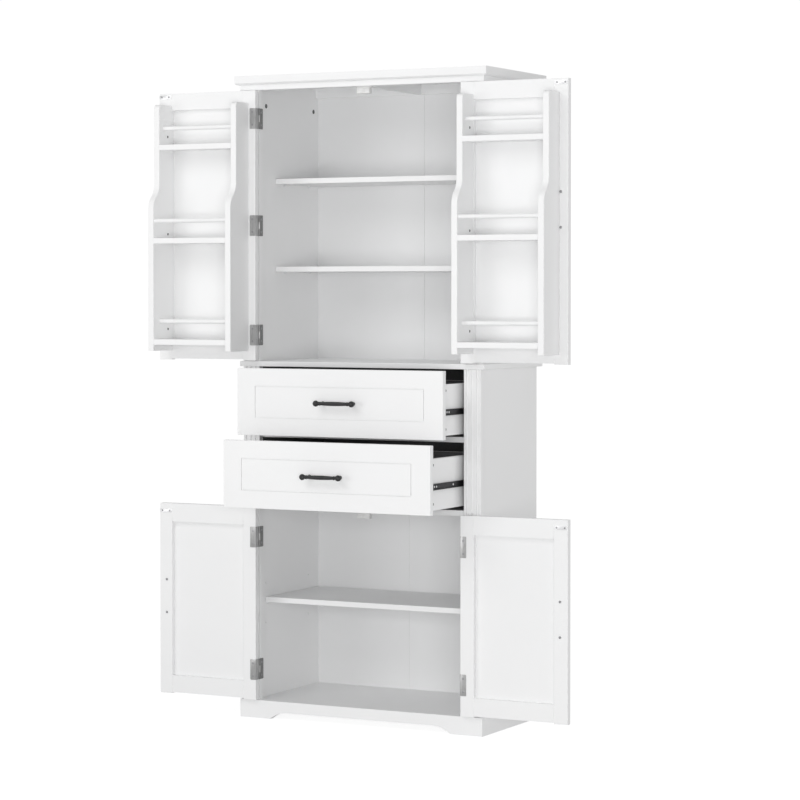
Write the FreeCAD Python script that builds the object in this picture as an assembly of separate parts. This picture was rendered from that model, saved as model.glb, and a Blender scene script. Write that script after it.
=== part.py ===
import FreeCAD, Part
import math
import os
from FreeCAD import Vector

# Pantry cabinet: a tall painted cabinet with two long doors above, two drawers and two short doors below.
# Frame: X to the right, Y to the back, Z up, in millimetres. The origin is on the floor, under the middle
# of the crown. The model stands as it is shown off: all four doors swung open flat, both drawers pulled out.

# ---------------------------------------------------------------- overall sizes
overall_width = 800.0
overall_depth = 400.0
overall_height = 1840.0
plinth_height = 52.0
ledge_top = 1024.0
drawer_floor_top = 618.0

# boards
board = 15.0
side_board = 25.0
back_board = 4.0
panel_ease = 0.8

# how far each layer sits inside the crown's outline
ledge_side_inset = 11.0
ledge_front_inset = 12.0
plinth_side_inset = 14.0
plinth_front_inset = 7.5
pilaster_side_inset = 22.0
pilaster_front_inset = 16.0
side_panel_inset = 30.0

# crown
crown_height = 41.0
crown_band = 25.0
crown_step = 12.0
crown_cove = 4.0
crown_rail_width = 52.0
crown_top_board = 12.0
crown_rebate = 18.0
crown_back_rail = 15.0

# plinth
plinth_board = 18.0
plinth_side_board = 16.0
plinth_foot = 98.0
plinth_arch_rise = 20.0
plinth_arch_run = 55.0
plinth_back_board = 16.0
centre_support_setback = 134.5

# pilasters
pilaster_width = 52.0
pilaster_thickness = 19.0
flute_width = 8.0
flute_depth = 5.0
flute_pitch = 15.5

# back panels
back_fold_x = 11.0
back_fold_width = 2.0
back_fold_depth = 1.5
back_strip_x = -43.0
back_strip_width = 10.0
back_strip_proud = 1.2
back_strip_web = 1.0
shelf_back_gap = 2.0

# shelves
# How high the shelves stand, as shares of their bays' heights.
upper_shelf_shares = (0.331, 0.6594)
lower_shelf_share = 0.4964
lower_shelf_front_inset = 45.0
rack_to_shelf_gap = 4.0
shelf_side_gap = 0.8
pin_radius = 2.5
pin_reach = 8.0
pin_hole_depth = 10.0
spare_hole_pitch = 57.0
pin_front_setback = 49.0
pin_back_setback = 60.0

# doors
door_thickness = 18.0
door_hinge_gap = 3.0
door_meeting_gap = 1.0
door_end_gap = 2.0
lower_door_lap = 5.0
stile_width = 41.0
lower_rail_width = 53.0
upper_rail_width = 49.0
bottom_rail_lift = 3.0
rail_chamfer = 0.8
door_panel = 3.0
door_panel_setback = 2.0
panel_tongue = 6.0

# hinges
hinge_height = 59.0
hinge_leaf = 1.0
hinge_leaf_width = 18.0
hinge_pin_radius = 1.2
hinge_running_gap = 0.05
knuckle_radius = 2.0
knuckle_gap = 0.2
pin_stand_off = 2.2
leaf_root_gap = 2.3
hinge_screw_spread = 18.0
hinge_screw_head = 3.2
hinge_screw_proud = 0.5
hinge_screw_radius = 1.5
hinge_screw_length = 12.0
lower_hinge_inset = 87.0
upper_hinge_inset_bottom = 73.0
upper_hinge_inset_top = 80.0

# handles
handle_centres = 96.0
handle_ball_centres = 112.0
handle_ball_radius = 8.5
handle_bar_end_radius = 4.5
handle_bar_middle_radius = 6.0
handle_stand_off = 27.0
handle_post_radius = 4.5
handle_foot_radius = 5.5
handle_foot_height = 2.0
handle_screw_radius = 2.0
handle_screw_head = 3.6
handle_screw_head_height = 2.2
handle_screw_bite = 9.0
upper_handle_inset = 21.8
lower_handle_inset = 23.0
# How far a handle stands above its door's bottom, or below its top, as a share of the door's height.
upper_handle_share = 0.5421
lower_handle_share = 0.4874

# strike plates and magnetic catches
strike_width = 39.0
strike_height = 11.0
strike_thickness = 1.0
strike_edge_inset = 1.5
strike_top_inset_lower = 16.0
strike_top_inset_upper = 5.0
strike_screw_spread = 24.0
strike_screw_head = 2.6
strike_screw_radius = 1.2
strike_screw_length = 9.0
catch_width = 40.0
catch_height = 19.0
catch_depth = 14.0
catch_flange_width = 52.0
catch_flange_height = 2.5
catch_gap = 1.2

# door racks
rack_side = 18.0
rack_hinge_inset = 22.0
rack_depth = 102.0
rack_step = 32.0
rack_bottom_inset = 27.0
rack_top_inset = 36.0
rack_swing_gap = 2.0
rack_curve_above_rod = 33.0
rack_curve_rise = 73.0
rack_top_round = 12.0
# From bottom to top: each shelf's height as a share of the rack's, and where its guard rod stands,
# above the shelf's underside and back from the rack's front there.
rack_shelf_shares = (0.0254, 0.435, 0.815)
rack_rod_lifts = (67.0, 65.0, 63.0)
rack_rod_setbacks = (36.0, 10.0, 25.0)
rack_rod_radius = 6.25
rack_rod_socket = 8.0

# drawers
drawer_front_thickness = 18.0
drawer_middle_gap = 10.5
drawer_side_gap = 2.0
drawer_end_gap = 2.0
drawer_top_gap = 1.5
drawer_outline_side = 57.0
drawer_outline_end = 49.0
drawer_outline_width = 2.5
drawer_outline_depth = 3.0
drawer_box_drop = 48.5
drawer_box_side = 12.0
drawer_box_lift = 11.0
drawer_bottom = 4.0
drawer_bottom_lift = 12.0
drawer_bottom_groove = 5.0
slide_drop = 64.0
# How far each drawer is pulled out as it stands, as a share of its slides' travel.
upper_pull_share = 0.481
lower_pull_share = 0.771
divider_depth = 70.0

# drawer slides
slide_back_gap = 9.0
slide_overlap = 88.0
slide_thickness = 13.0
slide_steel = 1.2
slide_outer_height = 27.0
slide_inner_height = 17.0
slide_outer_lip = 8.0
slide_inner_lip = 7.0
ball_running_gap = 0.05
cage_steel = 0.8
cage_slack = 1.0
cage_ball_pitch = 10.0
slide_hole_radius = 2.2
slide_hole_setbacks = (26.0, 39.0, 141.0)

# ---------------------------------------------------------------- worked-out positions
half_width = overall_width / 2
front = -overall_depth / 2
rear = overall_depth / 2
crown_bottom = overall_height - crown_height
ledge_bottom = ledge_top - board
face_y = front + pilaster_front_inset
case_front = face_y + pilaster_thickness
pilaster_outer = half_width - pilaster_side_inset
opening_half = pilaster_outer - pilaster_width
panel_outer = half_width - side_panel_inset
bay_half = panel_outer - side_board
back_front = rear - back_board
shelf_rear = back_front - shelf_back_gap
drawer_floor_bottom = drawer_floor_top - board
plinth_outer = half_width - plinth_side_inset
plinth_front = front + plinth_front_inset
plinth_board_rear = plinth_front + plinth_board
bottom_board_bottom = plinth_height - board
centre_support_front = plinth_board_rear + centre_support_setback

# The hinge pins stand just proud of the pilasters' faces, in the gap beside the closed doors.
pivot_x = opening_half - door_hinge_gap / 2
pivot_y = face_y - pin_stand_off
door_width = opening_half - door_hinge_gap - door_meeting_gap / 2
# A door that is swung open flat lies point for point opposite its closed place, across the pin.
open_edge_x = opening_half
open_inner_y = 2 * pivot_y - (face_y + door_thickness)

lower_door_bottom = plinth_height + door_end_gap
lower_door_top = drawer_floor_bottom + lower_door_lap
upper_door_bottom = ledge_top + door_end_gap
upper_door_top = crown_bottom - door_end_gap

lower_hinges = (lower_door_bottom + lower_hinge_inset, lower_door_top - lower_hinge_inset)
upper_hinges = (
    upper_door_bottom + upper_hinge_inset_bottom,
    (upper_door_bottom + upper_door_top) / 2,
    upper_door_top - upper_hinge_inset_top,
)
upper_handle_z = upper_door_bottom + upper_handle_share * (upper_door_top - upper_door_bottom)
lower_handle_z = lower_door_top - lower_handle_share * (lower_door_top - lower_door_bottom)
# how far the inset panel lies behind the open door's visible face
door_recess = door_thickness - door_panel - door_panel_setback

# The rack's far corner swings past the other door, so its reach comes from the circle it can turn in.
rack_swing_radius = pivot_x - rack_swing_gap
rack_far_corner = math.sqrt(rack_swing_radius**2 - (rack_depth + pivot_y - open_inner_y) ** 2)
rack_outer_u = rack_far_corner + pivot_x - open_edge_x
rack_bottom = upper_door_bottom + rack_bottom_inset
rack_top = upper_door_top - rack_top_inset
rack_top_depth = rack_depth - rack_step
rack_shelf_bottoms = [rack_bottom + share * (rack_top - rack_bottom) for share in rack_shelf_shares]
rack_rod_heights = [bottom + lift for bottom, lift in zip(rack_shelf_bottoms, rack_rod_lifts)]
rack_shelf_depths = (rack_depth, rack_depth, rack_top_depth)
rack_rod_depths = [depth - setback for depth, setback in zip(rack_shelf_depths, rack_rod_setbacks)]
rack_curve_bottom = rack_rod_heights[1] + rack_curve_above_rod
rack_curve_top = rack_curve_bottom + rack_curve_rise
upper_shelf_front = face_y + door_thickness + rack_depth + rack_to_shelf_gap
lower_shelf_front = case_front + lower_shelf_front_inset
upper_shelf_bottoms = [ledge_top + share * (crown_bottom - ledge_top) for share in upper_shelf_shares]
lower_shelf_bottom = plinth_height + lower_shelf_share * (drawer_floor_bottom - plinth_height)

drawer_front_half = opening_half - drawer_side_gap
drawer_room = ledge_bottom - drawer_top_gap - drawer_middle_gap - drawer_floor_top - drawer_end_gap
drawer_front_height = drawer_room / 2
drawer_box_height = drawer_front_height - drawer_box_drop
lower_front_bottom = drawer_floor_top + drawer_end_gap
lower_front_top = lower_front_bottom + drawer_front_height
upper_front_top = ledge_bottom - drawer_top_gap
upper_front_bottom = upper_front_top - drawer_front_height
divider_bottom = (lower_front_top + upper_front_bottom - board) / 2
divider_top = divider_bottom + board
box_half = opening_half - slide_thickness
slide_front = case_front
slide_length = shelf_rear - case_front - slide_back_gap
slide_travel = slide_length - slide_overlap
upper_drawer_pull = upper_pull_share * slide_travel
lower_drawer_pull = lower_pull_share * slide_travel

os.makedirs("parts", exist_ok=True)


# ---------------------------------------------------------------- helpers
def block(x0, x1, y0, y1, z0, z1):
    """A rectangular board from its two corners."""
    return Part.makeBox(x1 - x0, y1 - y0, z1 - z0, Vector(x0, y0, z0))


def eased(solid, radius=panel_ease):
    """The same board with every edge slightly rounded."""
    return solid.makeFillet(radius, solid.Edges)


def prism(points, travel):
    """A flat outline of corner points pushed along a vector."""
    outline = Part.makePolygon(points + [points[0]])
    return Part.Face(outline).extrude(travel)


def rod(start, direction, radius, length):
    return Part.makeCylinder(radius, length, start, direction)


def mirrored(solid):
    """The same piece on the cabinet's other side."""
    return solid.mirror(Vector(0, 0, 0), Vector(1, 0, 0))


def both_sides(solids):
    return list(solids) + [mirrored(s) for s in solids]


def moved(solid, x=0.0, y=0.0, z=0.0):
    copy = solid.copy()
    copy.translate(Vector(x, y, z))
    return copy


def save(name, solids):
    """Write one node: a single solid, or several separate ones."""
    shape = solids[0] if len(solids) == 1 else Part.makeCompound(solids)
    for solid in solids:
        if not solid.isValid():
            raise ValueError(name + " holds a faulty solid")
    shape.exportStep("parts/" + name + ".step")


X_AXIS = Vector(1, 0, 0)
Y_AXIS = Vector(0, 1, 0)
Z_AXIS = Vector(0, 0, 1)


# ---------------------------------------------------------------- crown
def crown_profile(inset_to_point):
    """Outline of the crown moulding: a tall band, a small cove and a lower band set back under it."""
    cove_top = overall_height - crown_band
    corners = [
        (0, overall_height),
        (0, cove_top + crown_cove),
        (crown_cove, cove_top),
        (crown_step, cove_top),
        (crown_step, crown_bottom),
        (crown_rail_width, crown_bottom),
        (crown_rail_width, overall_height - crown_top_board),
        (crown_rebate, overall_height - crown_top_board),
        (crown_rebate, overall_height),
    ]
    return [inset_to_point(inset, height) for inset, height in corners]


def crown_frame():
    """Mitred front and side mouldings, the back rail and the middle stiffener."""
    inner_x = half_width - crown_rail_width
    inner_y = front + crown_rail_width
    tall = Vector(0, 0, overall_height)
    front_bar = prism(
        crown_profile(lambda inset, z: Vector(-half_width, front + inset, z)),
        Vector(overall_width, 0, 0),
    )
    front_plan = [
        Vector(-half_width, front, 0),
        Vector(half_width, front, 0),
        Vector(inner_x, inner_y, 0),
        Vector(-inner_x, inner_y, 0),
    ]
    front_moulding = front_bar.common(prism(front_plan, tall))
    side_bar = prism(
        crown_profile(lambda inset, z: Vector(half_width - inset, front, z)),
        Vector(0, overall_depth, 0),
    )
    side_plan = [
        Vector(half_width, front, 0),
        Vector(half_width, rear, 0),
        Vector(inner_x, rear, 0),
        Vector(inner_x, inner_y, 0),
    ]
    side_moulding = side_bar.common(prism(side_plan, tall))
    board_bottom = overall_height - crown_top_board
    back_rail = block(-inner_x, inner_x, rear - crown_back_rail, rear, crown_bottom, board_bottom)
    stiffener = block(
        -board / 2, board / 2, inner_y, rear - crown_back_rail, crown_bottom, board_bottom
    )
    pieces = [front_moulding.Solids[0], *both_sides([side_moulding.Solids[0]]), back_rail, stiffener]
    save("crown_frame", pieces)
    half_board = half_width - crown_rebate
    top = block(
        -half_board, half_board, front + crown_rebate, rear, overall_height - crown_top_board, overall_height
    )
    save("crown_top_board", [top])


# ---------------------------------------------------------------- case
def pin_places(setback_front, setback_back, heights):
    """Where shelf pins or spare holes stand on a side panel: a front and a back one at each height."""
    return [(y, z) for z in heights for y in (setback_front, setback_back)]


pin_back_y = shelf_rear - pin_back_setback
lower_pin_front_y = case_front + pin_front_setback
upper_pin_front_y = upper_shelf_front + pin_front_setback
lower_pin_z = lower_shelf_bottom - pin_radius
lower_pins = pin_places(lower_pin_front_y, pin_back_y, [lower_pin_z])
spare_holes = pin_places(
    lower_pin_front_y, pin_back_y, [lower_pin_z - spare_hole_pitch, lower_pin_z + spare_hole_pitch]
)
upper_pins = pin_places(
    upper_pin_front_y, pin_back_y, [bottom - pin_radius for bottom in upper_shelf_bottoms]
)


def pin_hole(y, z):
    return rod(Vector(bay_half, y, z), X_AXIS, pin_radius, pin_hole_depth)


def side_panels():
    """Four side panels, each drilled for its shelf pins."""
    lower = block(bay_half, panel_outer, case_front, rear, plinth_height, ledge_bottom)
    for y, z in lower_pins + spare_holes:
        lower = lower.cut(pin_hole(y, z))
    upper = block(bay_half, panel_outer, case_front, rear, ledge_top, crown_bottom)
    for y, z in upper_pins:
        upper = upper.cut(pin_hole(y, z))
    save("lower_right_side_panel", lower.Solids)
    save("lower_left_side_panel", [mirrored(s) for s in lower.Solids])
    save("upper_right_side_panel", upper.Solids)
    save("upper_left_side_panel", [mirrored(s) for s in upper.Solids])


def pilaster(bottom, top, hinge_heights):
    """A fluted upright glued in front of a side panel, drilled for its hinge screws."""
    upright = block(opening_half, pilaster_outer, face_y, case_front, bottom, top)
    middle = (opening_half + pilaster_outer) / 2
    # each flute is a shallow round-bottomed groove: a circle through its two edges and its floor
    radius = (flute_width**2 / 4 + flute_depth**2) / (2 * flute_depth)
    for step in (-1, 0, 1):
        centre = Vector(middle + step * flute_pitch, face_y + flute_depth - radius, bottom)
        upright = upright.cut(rod(centre, Z_AXIS, radius, top - bottom))
    for height in hinge_heights:
        for place in frame_screw_places(height):
            upright = upright.cut(
                rod(Vector(opening_half, place.y, place.z), X_AXIS, hinge_screw_radius, hinge_screw_length)
            )
    return upright.Solids[0]


def frame_screw_places(height):
    """Screw points of a frame leaf, on its face towards the opening."""
    y = (face_y + case_front) / 2
    spread = hinge_screw_spread
    return [Vector(opening_half - hinge_leaf, y, height + dz) for dz in (-spread, spread)]


def pilasters():
    save("lower_pilasters", both_sides([pilaster(plinth_height, ledge_bottom, lower_hinges)]))
    save("upper_pilasters", both_sides([pilaster(ledge_top, crown_bottom, upper_hinges)]))


def level_boards():
    """The boards that lie level across the case, and the upright liners beside the drawers."""
    ledge_half = half_width - ledge_side_inset
    ledge = block(-ledge_half, ledge_half, front + ledge_front_inset, rear, ledge_bottom, ledge_top)
    save("ledge_board", [eased(ledge, 2 * panel_ease)])
    bottom = block(-panel_outer, panel_outer, plinth_board_rear, rear, bottom_board_bottom, plinth_height)
    save("bottom_board", [bottom])
    floor = block(-bay_half, bay_half, case_front, shelf_rear, drawer_floor_bottom, drawer_floor_top)
    save("drawer_floor_board", [floor])
    liner = block(opening_half, bay_half, case_front, shelf_rear, drawer_floor_top, ledge_bottom)
    save("drawer_bay_liners", both_sides([liner]))
    rail = block(
        -opening_half, opening_half, case_front, case_front + divider_depth, divider_bottom, divider_top
    )
    save("drawer_divider_rail", [rail])


def shelves():
    half = bay_half - shelf_side_gap
    names = ("upper_shelf_low", "upper_shelf_high")
    for name, bottom in zip(names, upper_shelf_bottoms):
        save(name, [eased(block(-half, half, upper_shelf_front, shelf_rear, bottom, bottom + board))])
    top = lower_shelf_bottom + board
    save("lower_shelf", [eased(block(-half, half, lower_shelf_front, shelf_rear, lower_shelf_bottom, top))])
    pins = [
        rod(Vector(bay_half - pin_reach, y, z), X_AXIS, pin_radius, pin_reach + pin_hole_depth)
        for y, z in lower_pins + upper_pins
    ]
    save("shelf_pins", both_sides(pins))


def back_panels():
    """A folded sheet behind the upper bay, and two boards with a joining strip behind the lower part."""
    upper = block(-bay_half, bay_half, back_front, rear, ledge_top, crown_bottom)
    fold_left = back_fold_x - back_fold_width / 2
    groove = block(
        fold_left, fold_left + back_fold_width, back_front, back_front + back_fold_depth, ledge_top, crown_bottom
    )
    save("upper_back_panel", upper.cut(groove).Solids)
    web_left = back_strip_x - back_strip_web / 2
    web_right = back_strip_x + back_strip_web / 2
    left = block(-bay_half, web_left, back_front, rear, plinth_height, ledge_bottom)
    right = block(web_right, bay_half, back_front, rear, plinth_height, ledge_bottom)
    cover = block(
        back_strip_x - back_strip_width / 2,
        back_strip_x + back_strip_width / 2,
        back_front - back_strip_proud,
        back_front,
        plinth_height,
        ledge_bottom,
    )
    web = block(web_left, web_right, back_front, rear, plinth_height, ledge_bottom)
    save("lower_back_panels", [left, right, cover.fuse(web).Solids[0]])


def plinth():
    """The front board with its flat arch between two feet, and the boards behind it."""
    arch_foot = plinth_outer - plinth_foot
    arch_flat = arch_foot - plinth_arch_run
    # a hollow quarter: the arc rises steeply from the floor and runs out level under the board
    radius = (plinth_arch_run**2 + plinth_arch_rise**2) / (2 * plinth_arch_rise)
    swing = math.asin(plinth_arch_run / radius) / 2
    depth_y = plinth_front

    def arc_middle(side):
        x = arch_flat + radius * math.sin(swing)
        return Vector(side * x, depth_y, plinth_arch_rise - radius * (1 - math.cos(swing)))

    def point(x, z):
        return Vector(x, depth_y, z)

    rise = plinth_arch_rise
    edges = [
        Part.LineSegment(point(-plinth_outer, 0), point(-arch_foot, 0)),
        Part.Arc(point(-arch_foot, 0), arc_middle(-1), point(-arch_flat, rise)),
        Part.LineSegment(point(-arch_flat, rise), point(arch_flat, rise)),
        Part.Arc(point(arch_flat, rise), arc_middle(1), point(arch_foot, 0)),
        Part.LineSegment(point(arch_foot, 0), point(plinth_outer, 0)),
        Part.LineSegment(point(plinth_outer, 0), point(plinth_outer, plinth_height)),
        Part.LineSegment(point(plinth_outer, plinth_height), point(-plinth_outer, plinth_height)),
        Part.LineSegment(point(-plinth_outer, plinth_height), point(-plinth_outer, 0)),
    ]
    outline = Part.Wire([edge.toShape() for edge in edges])
    save("plinth_front", [Part.Face(outline).extrude(Vector(0, plinth_board, 0))])
    side = block(panel_outer, panel_outer + plinth_side_board, plinth_board_rear, rear, 0, plinth_height)
    back = block(-panel_outer, panel_outer, rear - plinth_back_board, rear, 0, bottom_board_bottom)
    support = block(
        -board / 2, board / 2, centre_support_front, rear - plinth_back_board, 0, bottom_board_bottom
    )
    save("plinth_frame", [*both_sides([side]), back, support])


# ---------------------------------------------------------------- magnetic catches
def catch(top):
    """A double catch: a plastic body under a screw flange, hung behind the meeting stiles."""
    y0 = face_y + door_thickness + strike_thickness + catch_gap
    y1 = y0 + catch_depth
    flange_bottom = top - catch_flange_height
    half = catch_flange_width / 2
    flange = eased(block(-half, half, y0, y1, flange_bottom, top))
    body = eased(block(-catch_width / 2, catch_width / 2, y0, y1, top - catch_height, top))
    return flange.fuse(body).Solids[0]


# ---------------------------------------------------------------- hinges
def knuckle_spans(height):
    """The three stretches of a hinge's barrel, bottom to top."""
    bottom = height - hinge_height / 2
    third = hinge_height / 3
    return [(bottom + i * third + knuckle_gap / 2, bottom + (i + 1) * third - knuckle_gap / 2) for i in range(3)]


def knuckle(span, tab_end_y):
    """One stretch of barrel with the tab that joins it to its leaf."""
    low, high = span
    barrel = rod(Vector(pivot_x, pivot_y, low), Z_AXIS, knuckle_radius, high - low)
    tab = block(
        opening_half - hinge_leaf, opening_half, min(pivot_y, tab_end_y), max(pivot_y, tab_end_y), low, high
    )
    bore = rod(Vector(pivot_x, pivot_y, low), Z_AXIS, hinge_pin_radius + hinge_running_gap, high - low)
    return barrel.fuse(tab).cut(bore)


def frame_leaf(height):
    """The fixed leaf on the pilaster's edge, with the outer two knuckles."""
    low = height - hinge_height / 2
    plate_front = pivot_y + leaf_root_gap
    leaf = block(opening_half - hinge_leaf, opening_half, plate_front, case_front, low, low + hinge_height)
    spans = knuckle_spans(height)
    for span in (spans[0], spans[2]):
        leaf = leaf.fuse(knuckle(span, plate_front + hinge_leaf))
    for place in frame_screw_places(height):
        leaf = leaf.cut(rod(place, X_AXIS, hinge_screw_radius, hinge_leaf))
    return leaf.removeSplitter().Solids[0]


def door_screw_places(height):
    """Screw points of a door leaf, on its face away from the door."""
    x = open_edge_x + hinge_leaf_width / 2
    y = open_inner_y - hinge_leaf
    return [Vector(x, y, height + dz) for dz in (-hinge_screw_spread, hinge_screw_spread)]


def door_leaf(height):
    """The moving leaf: it wraps from the door's hinge edge onto its inner face."""
    low = height - hinge_height / 2
    high = low + hinge_height
    plate_rear = pivot_y - leaf_root_gap
    edge_x = opening_half - hinge_leaf
    outer_y = open_inner_y - hinge_leaf
    along_edge = block(edge_x, opening_half, outer_y, plate_rear, low, high)
    on_face = block(opening_half, opening_half + hinge_leaf_width, outer_y, open_inner_y, low, high)
    leaf = along_edge.fuse(on_face).fuse(knuckle(knuckle_spans(height)[1], plate_rear - hinge_leaf))
    for place in door_screw_places(height):
        leaf = leaf.cut(rod(place, Y_AXIS, hinge_screw_radius, hinge_leaf))
    return leaf.removeSplitter().Solids[0]


def hinge_screw(place, direction):
    """A low pan head on a plain shank, its head bearing on the leaf at the given point."""
    head_start = place - direction * hinge_screw_proud
    head = rod(head_start, direction, hinge_screw_head, hinge_screw_proud)
    shank = rod(place, direction, hinge_screw_radius, hinge_screw_length)
    return head.fuse(shank).Solids[0]


def hinge_pin(height):
    return rod(
        Vector(pivot_x, pivot_y, height - hinge_height / 2), Z_AXIS, hinge_pin_radius, hinge_height
    )


def frame_hinges():
    """The fixed half of every hinge: its leaf, its pin and its two screws."""
    pieces = []
    for height in lower_hinges + upper_hinges:
        pieces += [frame_leaf(height), hinge_pin(height)]
        pieces += [hinge_screw(place, X_AXIS) for place in frame_screw_places(height)]
    save("frame_hinges", both_sides(pieces))


# ---------------------------------------------------------------- handles
def bar_handle():
    """A cast pull with a swelling bar and ball ends. It lies along Z, and its feet rest on the plane Y = 0."""
    half_bar = handle_ball_centres / 2
    axis_y = -handle_stand_off
    ends = (Vector(handle_bar_end_radius, 0, -half_bar), Vector(handle_bar_end_radius, 0, half_bar))
    swell = Part.Arc(ends[0], Vector(handle_bar_middle_radius, 0, 0), ends[1]).toShape()
    bottom = Part.LineSegment(Vector(0, 0, -half_bar), ends[0]).toShape()
    top = Part.LineSegment(ends[1], Vector(0, 0, half_bar)).toShape()
    spine = Part.LineSegment(Vector(0, 0, half_bar), Vector(0, 0, -half_bar)).toShape()
    half_section = Part.Face(Part.Wire([bottom, swell, top, spine]))
    handle = moved(half_section.revolve(Vector(0, 0, 0), Z_AXIS, 360), y=axis_y)
    for side in (-1, 1):
        ball = Part.makeSphere(handle_ball_radius, Vector(0, axis_y, side * half_bar))
        post_z = side * handle_centres / 2
        post = rod(Vector(0, 0, post_z), -Y_AXIS, handle_post_radius, handle_stand_off)
        foot = rod(Vector(0, 0, post_z), -Y_AXIS, handle_foot_radius, handle_foot_height)
        handle = handle.fuse([ball, post, foot])
    for side in (-1, 1):
        thread = rod(
            Vector(0, 0, side * handle_centres / 2), -Y_AXIS, handle_screw_radius, handle_screw_bite
        )
        handle = handle.cut(thread)
    return handle.Solids[0]


def handle_screws(thickness):
    """The two screws of a handle, through a board of this thickness behind the plane Y = 0."""
    screws = []
    for side in (-1, 1):
        z = side * handle_centres / 2
        head = rod(Vector(0, thickness, z), Y_AXIS, handle_screw_head, handle_screw_head_height)
        shank = rod(
            Vector(0, thickness, z), -Y_AXIS, handle_screw_radius, thickness + handle_screw_bite
        )
        screws.append(head.fuse(shank).Solids[0])
    return screws


def handle_holes(thickness):
    return [
        rod(Vector(0, thickness, side * handle_centres / 2), -Y_AXIS, handle_screw_radius, thickness)
        for side in (-1, 1)
    ]


HANDLE = bar_handle()


# ---------------------------------------------------------------- doors
def door_block(u0, u1, d0, d1, z0, z1):
    """A board on the open right-hand door: u from the hinge edge, d forward from the door's inner face."""
    return block(open_edge_x + u0, open_edge_x + u1, open_inner_y - d1, open_inner_y - d0, z0, z1)


def door_frame(bottom, top, rail, hinge_heights, handle_u, handle_z, strike_z):
    """Two stiles and two rails, grooved for the panel and drilled for the hardware."""
    inner_u = door_width - stile_width
    stiles = []
    for u0 in (0.0, inner_u):
        stiles.append(eased(door_block(u0, u0 + stile_width, -door_thickness, 0, bottom, top)))
    rails = []
    c = rail_chamfer
    y_in = open_inner_y
    y_out = open_inner_y + door_thickness
    x0 = open_edge_x + stile_width
    x1 = open_edge_x + inner_u
    for z0, z1 in ((bottom + bottom_rail_lift, bottom + rail), (top - rail, top)):
        plan = [
            Vector(x0 + c, y_in, z0),
            Vector(x1 - c, y_in, z0),
            Vector(x1, y_in + c, z0),
            Vector(x1, y_out - c, z0),
            Vector(x1 - c, y_out, z0),
            Vector(x0 + c, y_out, z0),
            Vector(x0, y_out - c, z0),
            Vector(x0, y_in + c, z0),
        ]
        rails.append(prism(plan, Vector(0, 0, z1 - z0)))
    seat = door_panel_solid(bottom, top, rail)
    drills = []
    for height in hinge_heights:
        for place in door_screw_places(height):
            drills.append(rod(place, Y_AXIS, hinge_screw_radius, hinge_screw_length))
    for hole in handle_holes(door_thickness):
        drills.append(place_on_door(hole, handle_u, handle_z))
    for place in strike_screw_places(strike_z):
        drills.append(rod(place, Y_AXIS, strike_screw_radius, strike_screw_length))
    members = []
    for member in stiles + rails:
        cut = member.cut(seat)
        for drill in drills:
            cut = cut.cut(drill)
        members.append(cut.Solids[0])
    return members


def door_panel_solid(bottom, top, rail):
    tongue = panel_tongue
    return door_block(
        stile_width - tongue,
        door_width - stile_width + tongue,
        -(door_recess + door_panel),
        -door_recess,
        bottom + rail - tongue,
        top - rail + tongue,
    )


def place_on_door(solid, u, z):
    """Turn a handle or its screws round to stand on the open door's outer face."""
    copy = solid.copy()
    copy.rotate(Vector(0, 0, 0), Z_AXIS, 180)
    copy.translate(Vector(open_edge_x + u, open_inner_y + door_thickness, z))
    return copy


def strike_screw_places(z):
    """Screw points of a strike plate, on its face away from the door."""
    middle = open_edge_x + door_width - strike_edge_inset - strike_width / 2
    y = open_inner_y - strike_thickness
    return [Vector(middle + dx, y, z) for dx in (-strike_screw_spread / 2, strike_screw_spread / 2)]


def strike_plate(z):
    """The flat steel plate that meets the catch, with its two screws."""
    u1 = door_width - strike_edge_inset
    half = strike_height / 2
    plate = door_block(u1 - strike_width, u1, 0, strike_thickness, z - half, z + half)
    screws = []
    for place in strike_screw_places(z):
        plate = plate.cut(rod(place, Y_AXIS, strike_screw_radius, strike_thickness))
        head = rod(
            place - Y_AXIS * hinge_screw_proud, Y_AXIS, strike_screw_head, hinge_screw_proud
        )
        shank = rod(place, Y_AXIS, strike_screw_radius, strike_screw_length)
        screws.append(head.fuse(shank).Solids[0])
    return [plate.Solids[0], *screws]


def door(level, bottom, top, rail, hinge_heights, handle_inset, handle_z, strike_inset):
    """Every piece of the right-hand door at this level, and its mirror image on the left."""
    handle_u = door_width - handle_inset
    strike_z = top - strike_inset - strike_height / 2
    leaves = []
    for height in hinge_heights:
        leaves.append(door_leaf(height))
        leaves += [hinge_screw(place, Y_AXIS) for place in door_screw_places(height)]
    handle = [place_on_door(HANDLE, handle_u, handle_z)]
    handle += [place_on_door(screw, handle_u, handle_z) for screw in handle_screws(door_thickness)]
    pieces = {
        "door_frame": door_frame(bottom, top, rail, hinge_heights, handle_u, handle_z, strike_z),
        "door_panel": [door_panel_solid(bottom, top, rail)],
        "door_hinge_leaves": leaves,
        "door_handle": handle,
        "strike_plate": strike_plate(strike_z),
    }
    for piece, solids in pieces.items():
        save(level + "_right_" + piece, solids)
        save(level + "_left_" + piece, [mirrored(s) for s in solids])


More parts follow.
